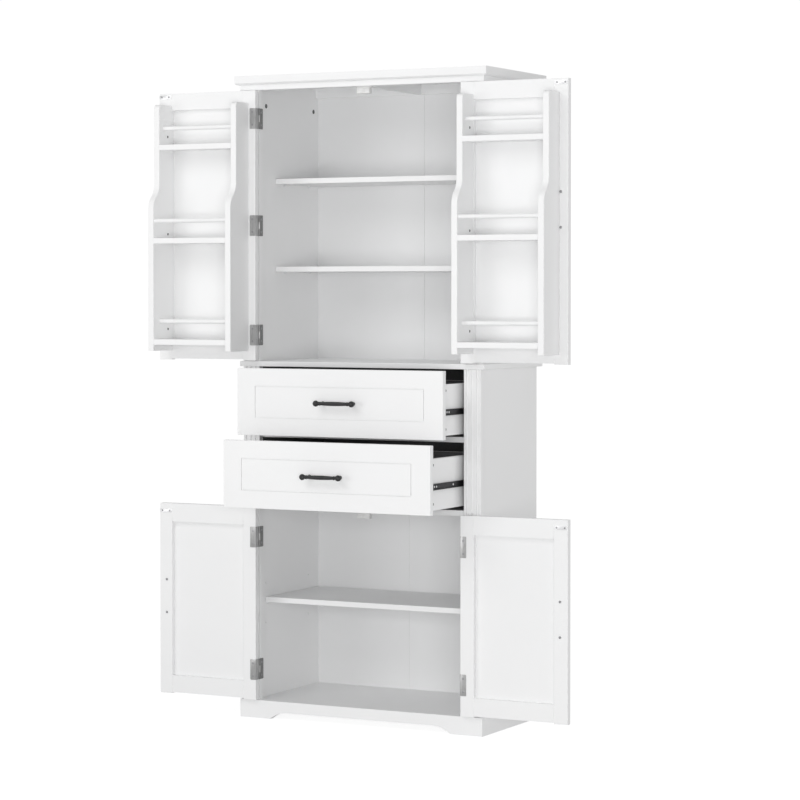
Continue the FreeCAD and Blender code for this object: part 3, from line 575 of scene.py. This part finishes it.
def slab(bm, low, high, corner=0.0, ease=0.3, thin_axis=None):
    """A plate between two corners, in millimetres: its corners rounded, then its rims eased."""
    low, high = Vector(low) * MM, Vector(high) * MM
    verts = bmesh.ops.create_cube(bm, size=1.0)["verts"]
    size = high - low
    bmesh.ops.scale(bm, vec=size, verts=verts)
    bmesh.ops.translate(bm, vec=(low + high) / 2, verts=verts)
    faces = {f for v in verts for f in v.link_faces}
    if corner:
        axis = min(range(3), key=lambda i: size[i]) if thin_axis is None else thin_axis
        along = [
            e
            for e in {e for f in faces for e in f.edges}
            if abs((e.verts[0].co - e.verts[1].co).normalized()[axis]) > 0.9
        ]
        rounded = bmesh.ops.bevel(
            bm, geom=along, offset=corner * MM, segments=5, profile=0.5, affect="EDGES", material=-1
        )
        faces = {f for f in faces if f.is_valid} | set(rounded["faces"])
    if ease:
        rims = {e for f in faces for e in f.edges}
        sharp = [e for e in rims if e.calc_face_angle(0.0) > math.radians(40)]
        bmesh.ops.bevel(
            bm, geom=sharp, offset=ease * MM, segments=2, profile=0.5, affect="EDGES", material=-1
        )


# %% [markdown]
# ## Screws
# Every fitting is held by cross-headed screws. A screw's head is a low dome with a cross pressed
# into it. The cross starts as a grid of nine squares with its corners taken away, a ring is
# bridged to it, the ring is pulled down and out into the dome, and the cross is pushed in. That
# gives a real recess with only a hundred or so faces, so that a cabinet's worth of them is cheap.


# %% Pressed screw head
def screw_head(name, radius, height, recess_depth=0.9):
    """A cross-headed screw's head, facing +Z from the plane Z = 0. Finish 1 is the recess."""
    bm = bmesh.new()
    arm_length, arm_width = radius * 0.52 * MM, radius * 0.13 * MM
    bmesh.ops.create_grid(bm, x_segments=3, y_segments=3, size=arm_length)
    for vert in bm.verts:
        for axis in (0, 1):
            if abs(vert.co[axis]) < arm_length * 0.9:
                vert.co[axis] = math.copysign(arm_width, vert.co[axis])
        vert.co.z = height * MM
    middles = {face: face.calc_center_median() for face in bm.faces}
    corners = [face for face, mid in middles.items() if min(abs(mid.x), abs(mid.y)) > arm_width]
    bmesh.ops.delete(bm, geom=corners, context="FACES")
    cross_faces = list(bm.faces)
    cross_rim = [e for e in bm.edges if e.is_boundary]
    ring = bmesh.ops.create_circle(bm, radius=radius * 0.72 * MM, segments=24)["verts"]
    bmesh.ops.translate(bm, vec=(0.0, 0.0, height * 0.96 * MM), verts=ring)
    ring_edges = [e for e in bm.edges if e.verts[0] in ring and e.verts[1] in ring]
    bmesh.ops.bridge_loops(bm, edges=cross_rim + ring_edges)
    edges, z = ring_edges, height * 0.96
    for spread, level in ((0.93, 0.70), (1.0, 0.35), (1.0, 0.0)):
        out = bmesh.ops.extrude_edge_only(bm, edges=edges)["geom"]
        verts = [g for g in out if isinstance(g, bmesh.types.BMVert)]
        edges = [g for g in out if isinstance(g, bmesh.types.BMEdge)]
        for vert in verts:
            flat = Vector((vert.co.x, vert.co.y)).normalized() * radius * spread * MM
            vert.co = (flat.x, flat.y, height * level * MM)
    bmesh.ops.holes_fill(bm, edges=edges, sides=0)
    pushed = bmesh.ops.extrude_face_region(bm, geom=cross_faces)["geom"]
    floor_verts = [g for g in pushed if isinstance(g, bmesh.types.BMVert)]
    sunk = -min(recess_depth, height * 0.8) * MM
    bmesh.ops.translate(bm, vec=(0.0, 0.0, sunk), verts=floor_verts)
    bmesh.ops.scale(bm, vec=(0.7, 0.7, 1.0), verts=floor_verts)
    # the recess floor takes finish 1, the painted shade
    floor_set = set(floor_verts)
    for face in bm.faces:
        if all(v in floor_set for v in face.verts):
            face.material_index = 1
    return shape(name, bm)


hinge_screw = screw_head("hinge_screw_head", 3.2, 0.5, 0.4)
plate_screw = screw_head("plate_screw_head", 2.6, 0.5, 0.4)
pull_screw = screw_head("pull_screw_head", 3.6, 2.2, 1.4)
slide_screw = screw_head("slide_screw_head", 2.9, 1.0, 0.7)
print("screw head faces:", len(pull_screw.polygons))


# %% Which way a shape faces
def at(x, y, z, turn_axis=None, degrees=0.0):
    """A place, in metres, with a turn made before the move."""
    move = Matrix.Translation((x, y, z))
    if turn_axis is None:
        return move
    return move @ Matrix.Rotation(math.radians(degrees), 4, turn_axis)


FACING_BACK = ("X", -90.0)
FACING_FRONT = ("X", 90.0)
FACING_RIGHT = ("Y", 90.0)
FACING_LEFT = ("Y", -90.0)

# %% [markdown]
# ## Bar pulls
# Each pull is a cast bar that swells gently in the middle and ends in two balls, carried on two
# short posts with round feet. A lathe shape is the natural way to make all of it: one outline
# turned for the bar with its collars and balls, and one for a post that flares into its foot.

# %% Bar pull
PULL_STAND_OFF = 27.0
PULL_POST = 48.0
BALL_CENTRE = 56.0
BALL_RADIUS = 8.5
# where the bar's neck runs into the ball
NECK_END = 48.73


def pull_bar_outline():
    """Half of the bar's outline, from its middle up to the top of a ball, then mirrored down."""
    upper = [(6.0, 0.0), (5.9, 9.0), (5.6, 20.0), (5.1, 31.0), (4.6, 39.5)]
    upper += [(4.55, 41.6), (5.5, 42.2), (5.75, 43.1), (5.5, 44.0), (4.6, 44.6), (4.4, 47.0)]
    start = math.degrees(math.asin((BALL_CENTRE - NECK_END) / BALL_RADIUS))
    upper += arc(0.0, BALL_CENTRE, BALL_RADIUS, -start, 90.0, 14)
    lower = [(r, -z) for r, z in reversed(upper[1:])]
    return lower + upper


def bar_pull():
    """A whole pull along Z, its feet on the plane Y = 0 and its bar in front of it."""
    bm = bmesh.new()
    turned(bm, pull_bar_outline(), 36)
    bar = shape("pull_bar", bm)
    bm = bmesh.new()
    foot = [(0.0, 0.0), (5.5, 0.0), (5.5, 1.4), (5.3, 1.9), (4.9, 2.2), (4.6, 3.0), (4.45, 4.4)]
    turned(bm, foot + [(4.4, 7.0), (4.3, 15.0), (4.5, 20.0), (5.4, 25.0), (0.0, 27.0)], 28)
    post = shape("pull_post", bm)
    bm = bmesh.new()
    put(bm, bar, at(0.0, -PULL_STAND_OFF * MM, 0.0))
    for side in (-1, 1):
        put(bm, post, at(0.0, 0.0, side * PULL_POST * MM, *FACING_FRONT))
    return kept("bar_pull", bm)


pull_shape = bar_pull()
print("pull faces:", len(pull_shape.polygons))


# %% The six pulls
def fit_pull(node, board_node, body, upright):
    """Puts a pull on its board: an open door's outer face is at the back, a drawer's in front."""
    low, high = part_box(node)
    board_low, board_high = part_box(board_node)
    centre = (low + high) / 2
    bm = bmesh.new()
    if upright:
        seat = at(centre.x, board_high.y, centre.z, "Z", 180.0)
        behind = board_low.y
        head_turn, step = FACING_FRONT, Vector((0.0, 0.0, PULL_POST * MM))
    else:
        seat = at(centre.x, board_low.y, centre.z, "Y", 90.0)
        behind = board_high.y
        head_turn, step = FACING_BACK, Vector((PULL_POST * MM, 0.0, 0.0))
    put(bm, pull_shape, seat)
    for side in (-1, 1):
        spot = Vector((centre.x, behind, centre.z)) + step * side
        put(bm, pull_screw, at(*spot, *head_turn), finishes=1)
    piece(node + "_pull", bm, [black_coat, screw_zinc, recess_painted_shade], body, [node])


for level in ("upper", "lower"):
    fit_pull(level + "_drawer_handle", level + "_drawer_front", level + "_drawer", upright=False)
    for side in ("left", "right"):
        door_body = level + "_" + side + "_door"
        fit_pull(door_body + "_handle", door_body + "_frame", door_body, upright=True)

# %% [markdown]
# ## Butt hinges
# A door hangs on small butt hinges. One leaf is screwed to the pilaster's edge, the other wraps
# round the door's edge onto its inner face, and their knuckles take turns along one pin. The
# leaves are plates with rounded corners, the knuckles short turned tubes with eased ends. They
# are made for the right-hand side and mirrored for the left.

# %% Hinge measures
HINGE_HALF = 29.5
HINGE_LEAF = 1.0
LEAF_WIDTH = 18.0
LEAF_ROOT = 2.3
SCREW_SPREAD = 18.0
KNUCKLE_RADIUS = 2.0
KNUCKLE_BORE = 1.25
KNUCKLE_ROOT = 3.0
# how far a door's lowest and highest hinges stand from its ends
HINGE_INSETS = {"upper": (73.0, 80.0), "lower": (87.0, 87.0)}
door_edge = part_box("upper_right_door_frame")[0].x / MM
door_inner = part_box("upper_right_door_frame")[0].y / MM
pilaster_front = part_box("upper_pilasters")[0].y / MM
pilaster_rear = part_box("upper_pilasters")[1].y / MM
PIN_X = door_edge - 1.5
PIN_Y = pilaster_front - 2.2
print("hinge pin at", round(PIN_X, 2), round(PIN_Y, 2))


def hinge_heights(level):
    """Heights of a door's hinges, from its own bottom and top, in millimetres."""
    low, high = (v.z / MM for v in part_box(level + "_right_door_frame"))
    middle = [(low + high) / 2] if level == "upper" else []
    return [low + HINGE_INSETS[level][0], *middle, high - HINGE_INSETS[level][1]]


# %% Hinge shapes
def knuckle(name, low, high, root_y):
    """A short turned tube round the pin, with the strip of leaf that curls into it."""
    bm = bmesh.new()
    rim = 0.25
    outline = [(KNUCKLE_BORE, low), (KNUCKLE_RADIUS - rim, low), (KNUCKLE_RADIUS, low + rim)]
    outline += [(KNUCKLE_RADIUS, high - rim), (KNUCKLE_RADIUS - rim, high), (KNUCKLE_BORE, high)]
    turned(bm, outline + [outline[0]], 28)
    bmesh.ops.translate(bm, vec=(PIN_X * MM, PIN_Y * MM, 0.0), verts=bm.verts)
    low_y, high_y = sorted((PIN_Y, root_y))
    slab(bm, (door_edge - HINGE_LEAF, low_y, low), (door_edge, high_y, high), ease=0.15)
    return shape(name, bm)


def leaf_on_door():
    """The moving leaf: a plate on the door's inner face, and its return along the door's edge."""
    bm = bmesh.new()
    face_y = door_inner - HINGE_LEAF
    plate_low = (door_edge - 0.6, face_y, -HINGE_HALF)
    slab(bm, plate_low, (door_edge + LEAF_WIDTH, door_inner, HINGE_HALF), 2.2, 0.2, 1)
    return_low = (door_edge - HINGE_LEAF, face_y + 0.1, -HINGE_HALF)
    slab(bm, return_low, (door_edge, PIN_Y - LEAF_ROOT, HINGE_HALF), 0.0, 0.2)
    return shape("leaf_on_door", bm)


def leaf_on_frame():
    """The fixed leaf: a plate on the pilaster's edge."""
    bm = bmesh.new()
    plate_low = (door_edge - HINGE_LEAF, PIN_Y + LEAF_ROOT, -HINGE_HALF)
    slab(bm, plate_low, (door_edge, pilaster_rear, HINGE_HALF), 2.2, 0.2, 0)
    return shape("leaf_on_frame", bm)


third = 2 * HINGE_HALF / 3
gap = 0.1
frame_root, door_root = PIN_Y + KNUCKLE_ROOT, PIN_Y - KNUCKLE_ROOT
low_knuckle = knuckle("low_knuckle", -HINGE_HALF + gap, -HINGE_HALF + third - gap, frame_root)
middle_knuckle = knuckle("middle_knuckle", -third / 2 + gap, third / 2 - gap, door_root)
high_knuckle = knuckle("high_knuckle", HINGE_HALF - third + gap, HINGE_HALF - gap, frame_root)
door_leaf, frame_leaf = leaf_on_door(), leaf_on_frame()
bm = bmesh.new()
pin_outline = [(0.0, -HINGE_HALF), (0.9, -HINGE_HALF), (1.2, -HINGE_HALF + 0.3)]
turned(bm, pin_outline + [(r, -z) for r, z in reversed(pin_outline)], 20)
bmesh.ops.translate(bm, vec=(PIN_X * MM, PIN_Y * MM, 0.0), verts=bm.verts)
hinge_pin = shape("hinge_pin", bm)
print("hinge leaf faces:", len(door_leaf.polygons), len(frame_leaf.polygons))


# %% Hang the doors
MIRROR = {"right": Matrix.Identity(4), "left": Matrix.Scale(-1.0, 4, (1.0, 0.0, 0.0))}
frame_bm = bmesh.new()
for level in ("upper", "lower"):
    for side in ("left", "right"):
        bm = bmesh.new()
        for height in hinge_heights(level):
            up = MIRROR[side] @ at(0.0, 0.0, height * MM)
            put(bm, door_leaf, up)
            put(bm, middle_knuckle, up)
            for mesh in (frame_leaf, low_knuckle, high_knuckle, hinge_pin):
                put(frame_bm, mesh, up)
            for spread in (-SCREW_SPREAD, SCREW_SPREAD):
                on_door = (door_edge + LEAF_WIDTH / 2, door_inner - HINGE_LEAF, spread)
                spot = Vector(on_door) * MM
                put(bm, hinge_screw, up @ at(*spot, *FACING_FRONT), finishes=1)
                on_frame = (door_edge - HINGE_LEAF, (pilaster_front + pilaster_rear) / 2, spread)
                spot = Vector(on_frame) * MM
                put(frame_bm, hinge_screw, up @ at(*spot, *FACING_LEFT), finishes=1)
        door_body = level + "_" + side + "_door"
        node = door_body + "_hinge_leaves"
        finishes = [satin_nickel, screw_zinc, recess_painted_shade]
        piece(node + "_set", bm, finishes, door_body, [node])
# the frame leaves take the darker nickel, a painted shade
finishes = [painted_shade_nickel, screw_zinc, recess_painted_shade]
piece("frame_hinge_set", frame_bm, finishes, "cabinet", ["frame_hinges"])

# %% [markdown]
# ## Strike plates
# Near its free corner each door carries a strip of bright steel that a magnet can hold. It is
# pressed from sheet, so its ends are round and its rim is soft, and two screws fix it.


# %% Strike plates
STRIKE_THICKNESS = 1.0
STRIKE_SCREW_REACH = 12.0


def strike_plate(corner):
    """A strip at a door's free corner, named by the door's level and side."""
    node = corner + "_strike_plate"
    door_body = corner + "_door"
    low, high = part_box(node)
    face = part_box(door_body + "_frame")[0].y
    middle = (low + high) / 2
    bm = bmesh.new()
    plate_low = (low.x / MM, face / MM - STRIKE_THICKNESS, low.z / MM)
    slab(bm, plate_low, (high.x / MM, face / MM, high.z / MM), 2.6, 0.25, 1)
    blank = shape("strike_blank", bm)
    bm = bmesh.new()
    put(bm, blank)
    for reach in (-STRIKE_SCREW_REACH, STRIKE_SCREW_REACH):
        spot = (middle.x + reach * MM, face - STRIKE_THICKNESS * MM, middle.z)
        put(bm, plate_screw, at(*spot, *FACING_FRONT), finishes=1)
    finishes = [bright_zinc, screw_zinc, recess_painted_shade]
    piece(node + "_fitted", bm, finishes, door_body, [node])


for level in ("upper", "lower"):
    for side in ("left", "right"):
        strike_plate(level + "_" + side)

# %% [markdown]
# ## Magnetic catches
# A double catch hangs behind the meeting edges of each pair of doors: a moulded body under a
# flange, with two magnets between steel cheeks that just show at its mouth. The body is a block
# with its mouth inset and pushed back, once for each door, and the cheeks are thin plates.


# %% Catch shape
CATCH_BODY = (40.0, 14.0, 17.0)
CATCH_BODY_MIDDLE = (0.0, 7.0, -10.5)
FLANGE_HALF = 26.0
FLANGE_THICKNESS = 2.5
FLANGE_SCREW_REACH = 23.0
MAGNET_REACH = 10.0
CHEEK_HALF = 6.5
CHEEK_HEIGHTS = (-7.2, -13.8)


def catch_shape():
    """A catch hung from the plane Z = 0 with its mouth on the plane Y = 0, facing front."""
    bm = bmesh.new()
    block = bmesh.ops.create_cube(bm, size=1.0)["verts"]
    bmesh.ops.scale(bm, vec=Vector(CATCH_BODY) * MM, verts=block)
    bmesh.ops.translate(bm, vec=Vector(CATCH_BODY_MIDDLE) * MM, verts=block)
    whole = list(bm.verts) + list(bm.edges) + list(bm.faces)
    bmesh.ops.bisect_plane(bm, geom=whole, plane_co=(0, 0, 0), plane_no=(1, 0, 0))
    mouths = [f for f in bm.faces if f.normal.y < -0.9]
    for mouth in mouths:
        bmesh.ops.inset_region(bm, faces=[mouth], thickness=2.0 * MM, depth=0.0)
        bmesh.ops.translate(bm, vec=(0.0, 1.2 * MM, 0.0), verts=mouth.verts)
    paired = [e for e in bm.edges if len(e.link_faces) == 2]
    outer = [e for e in paired if e.calc_face_angle(0.0) > math.radians(60)]
    bmesh.ops.bevel(
        bm, geom=outer, offset=0.5 * MM, segments=2, profile=0.5, affect="EDGES", material=-1
    )
    flange_low = (-FLANGE_HALF, 0.0, -FLANGE_THICKNESS)
    slab(bm, flange_low, (FLANGE_HALF, CATCH_BODY[1], 0.0), 2.5, 0.4, 2)
    moulding = shape("catch_moulding", bm)
    bm = bmesh.new()
    for magnet in (-MAGNET_REACH, MAGNET_REACH):
        for height in CHEEK_HEIGHTS:
            cheek_low = (magnet - CHEEK_HALF, 0.25, height - 0.8)
            slab(bm, cheek_low, (magnet + CHEEK_HALF, 6.0, height + 0.8), 0.0, 0.15)
    cheeks = shape("catch_cheeks", bm)
    bm = bmesh.new()
    put(bm, moulding)
    put(bm, cheeks, finishes=1)
    return kept("catch_shape", bm)


# %% Hang the catches
catch = catch_shape()
catch_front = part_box("magnetic_catches")[0].y
screw_y = catch_front + CATCH_BODY_MIDDLE[1] * MM
bm = bmesh.new()
for top in (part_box("magnetic_catches")[1].z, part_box("drawer_floor_board")[0].z):
    put(bm, catch, at(0.0, catch_front, top))
    for reach in (-FLANGE_SCREW_REACH, FLANGE_SCREW_REACH):
        facing_down = at(reach * MM, screw_y, top - FLANGE_THICKNESS * MM, "X", 180.0)
        put(bm, plate_screw, facing_down, finishes=2)
piece(
    "magnetic_catch_pair",
    bm,
    [white_plastic, bright_zinc, screw_zinc, recess_painted_shade],
    "cabinet",
    ["magnetic_catches"],
)

# %% [markdown]
# ## Shelf pins
# A shelf rests on four pins pushed into the side panels. Each is a turned stud with a collar that
# stops it, and a flat spoon under the shelf. The stud is turned and the spoon is a small plate.


# %% Shelf pins
PIN_RADIUS = 2.5
FRONT_PIN_SETBACK = 49.0


def shelf_pin_shape():
    """A pin along X, pushed into a wall that stands at X = 0, with its spoon towards -X."""
    bm = bmesh.new()
    stud = [(0.0, -10.0), (2.1, -10.0), (2.5, -9.4), (2.5, -0.2), (2.5, 0.9), (2.2, 1.2)]
    turned(bm, stud + [(2.2, 7.4), (1.8, 8.0), (0.0, 8.0)], 20)
    bmesh.ops.rotate(bm, matrix=Matrix.Rotation(math.radians(-90.0), 3, "Y"), verts=bm.verts)
    slab(bm, (-8.0, -2.4, 1.7), (-0.1, 2.4, 2.5), 1.2, 0.15, 2)
    return shape("shelf_pin", bm)


pin_shape = shelf_pin_shape()
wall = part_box("upper_right_side_panel")[0].x
bm = bmesh.new()
pin_box_front, pin_box_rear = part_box("shelf_pins")
for shelf in ("upper_shelf_high", "upper_shelf_low", "lower_shelf"):
    shelf_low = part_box(shelf)[0]
    front_y = shelf_low.y + FRONT_PIN_SETBACK * MM
    if shelf == "lower_shelf":
        front_y = pin_box_front.y + PIN_RADIUS * MM
    for y in (front_y, pin_box_rear.y - PIN_RADIUS * MM):
        for side in ("left", "right"):
            put(bm, pin_shape, MIRROR[side] @ at(wall, y, shelf_low.z - PIN_RADIUS * MM))
piece("shelf_pin_set", bm, [bright_zinc], "cabinet", ["shelf_pins"])

# %% [markdown]
# ## Flat-pack fixings
# The boards are drawn together by cams and bolts whose round heads show as small dark dots: on
# the upper side panels just under the crown, beside the racks' shelves and rods, and on the
# drawer sides behind the fronts. A cam is a shallow turned disc with a cross in it, so the screw
# helper makes those too, in their own sizes. Round-headed screws hold the slides.

# %% Cams and slide screws
cam_head = screw_head("cam_head", 6.5, 0.6, 0.45)
bolt_head = screw_head("bolt_head", 3.6, 0.5, 0.35)
cam_finish = plated_steel("dull_cam_zinc", grey(0.10), grey(0.18), 0.4, 0.55)
CAM_PLACES = ((-112.0, 1758.0), (167.0, 1758.0))
RACK_BOLT_HEIGHTS = (1115.0, 1389.0, 1670.0)
RACK_BOLT_DEPTH = 24.0
DRAWER_BOLT_SETBACK = 21.5
DRAWER_BOLT_INSET = 17.0
SLIDE_SCREW_SETBACKS = (26.0, 39.0, 141.0)
SLIDE_STEEL = 1.2

bm = bmesh.new()
for y, z in CAM_PLACES:
    for side in ("left", "right"):
        put(bm, cam_head, MIRROR[side] @ at(wall, y * MM, z * MM, *FACING_LEFT))
piece("side_panel_cams", bm, [cam_finish, recess_painted_shade], "cabinet")

inner, outer = (corner.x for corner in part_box("right_rack_shelves"))
bolt_y = (door_inner - RACK_BOLT_DEPTH) * MM
for side in ("left", "right"):
    bm = bmesh.new()
    for height in RACK_BOLT_HEIGHTS:
        put(bm, bolt_head, MIRROR[side] @ at(inner, bolt_y, height * MM, *FACING_RIGHT))
        put(bm, bolt_head, MIRROR[side] @ at(outer, bolt_y, height * MM, *FACING_LEFT))
    door_body = "upper_" + side + "_door"
    piece(side + "_rack_bolts", bm, [cam_finish, recess_painted_shade], door_body)

for level in ("upper", "lower"):
    low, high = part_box(level + "_drawer_box")
    slide_low, slide_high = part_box(level + "_drawer_slides")
    front = slide_low.y
    slide_z = (slide_low.z + slide_high.z) / 2
    bm = bmesh.new()
    for side in ("left", "right"):
        for height in (low.z + DRAWER_BOLT_INSET * MM, high.z - DRAWER_BOLT_INSET * MM):
            seat = at(high.x, front + DRAWER_BOLT_SETBACK * MM, height, *FACING_RIGHT)
            put(bm, bolt_head, MIRROR[side] @ seat)
        for setback in SLIDE_SCREW_SETBACKS:
            seat = at(high.x + SLIDE_STEEL * MM, front + setback * MM, slide_z, *FACING_RIGHT)
            put(bm, slide_screw, MIRROR[side] @ seat, finishes=2)
    finishes = [cam_finish, recess_painted_shade, bright_zinc, recess_painted_shade]
    piece(level + "_drawer_fixings", bm, finishes, level + "_drawer")

# %% [markdown]
# ## Sizes, and the end
# The looks must not change the cabinet's size, so its box is measured again and compared.

# %% Compare the boxes
visual_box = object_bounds()
growth = max(abs(a - b) for c, v in zip(cad_box, visual_box) for a, b in zip(c, v))
print("largest difference between the boxes in millimetres:", round(growth / MM, 3))
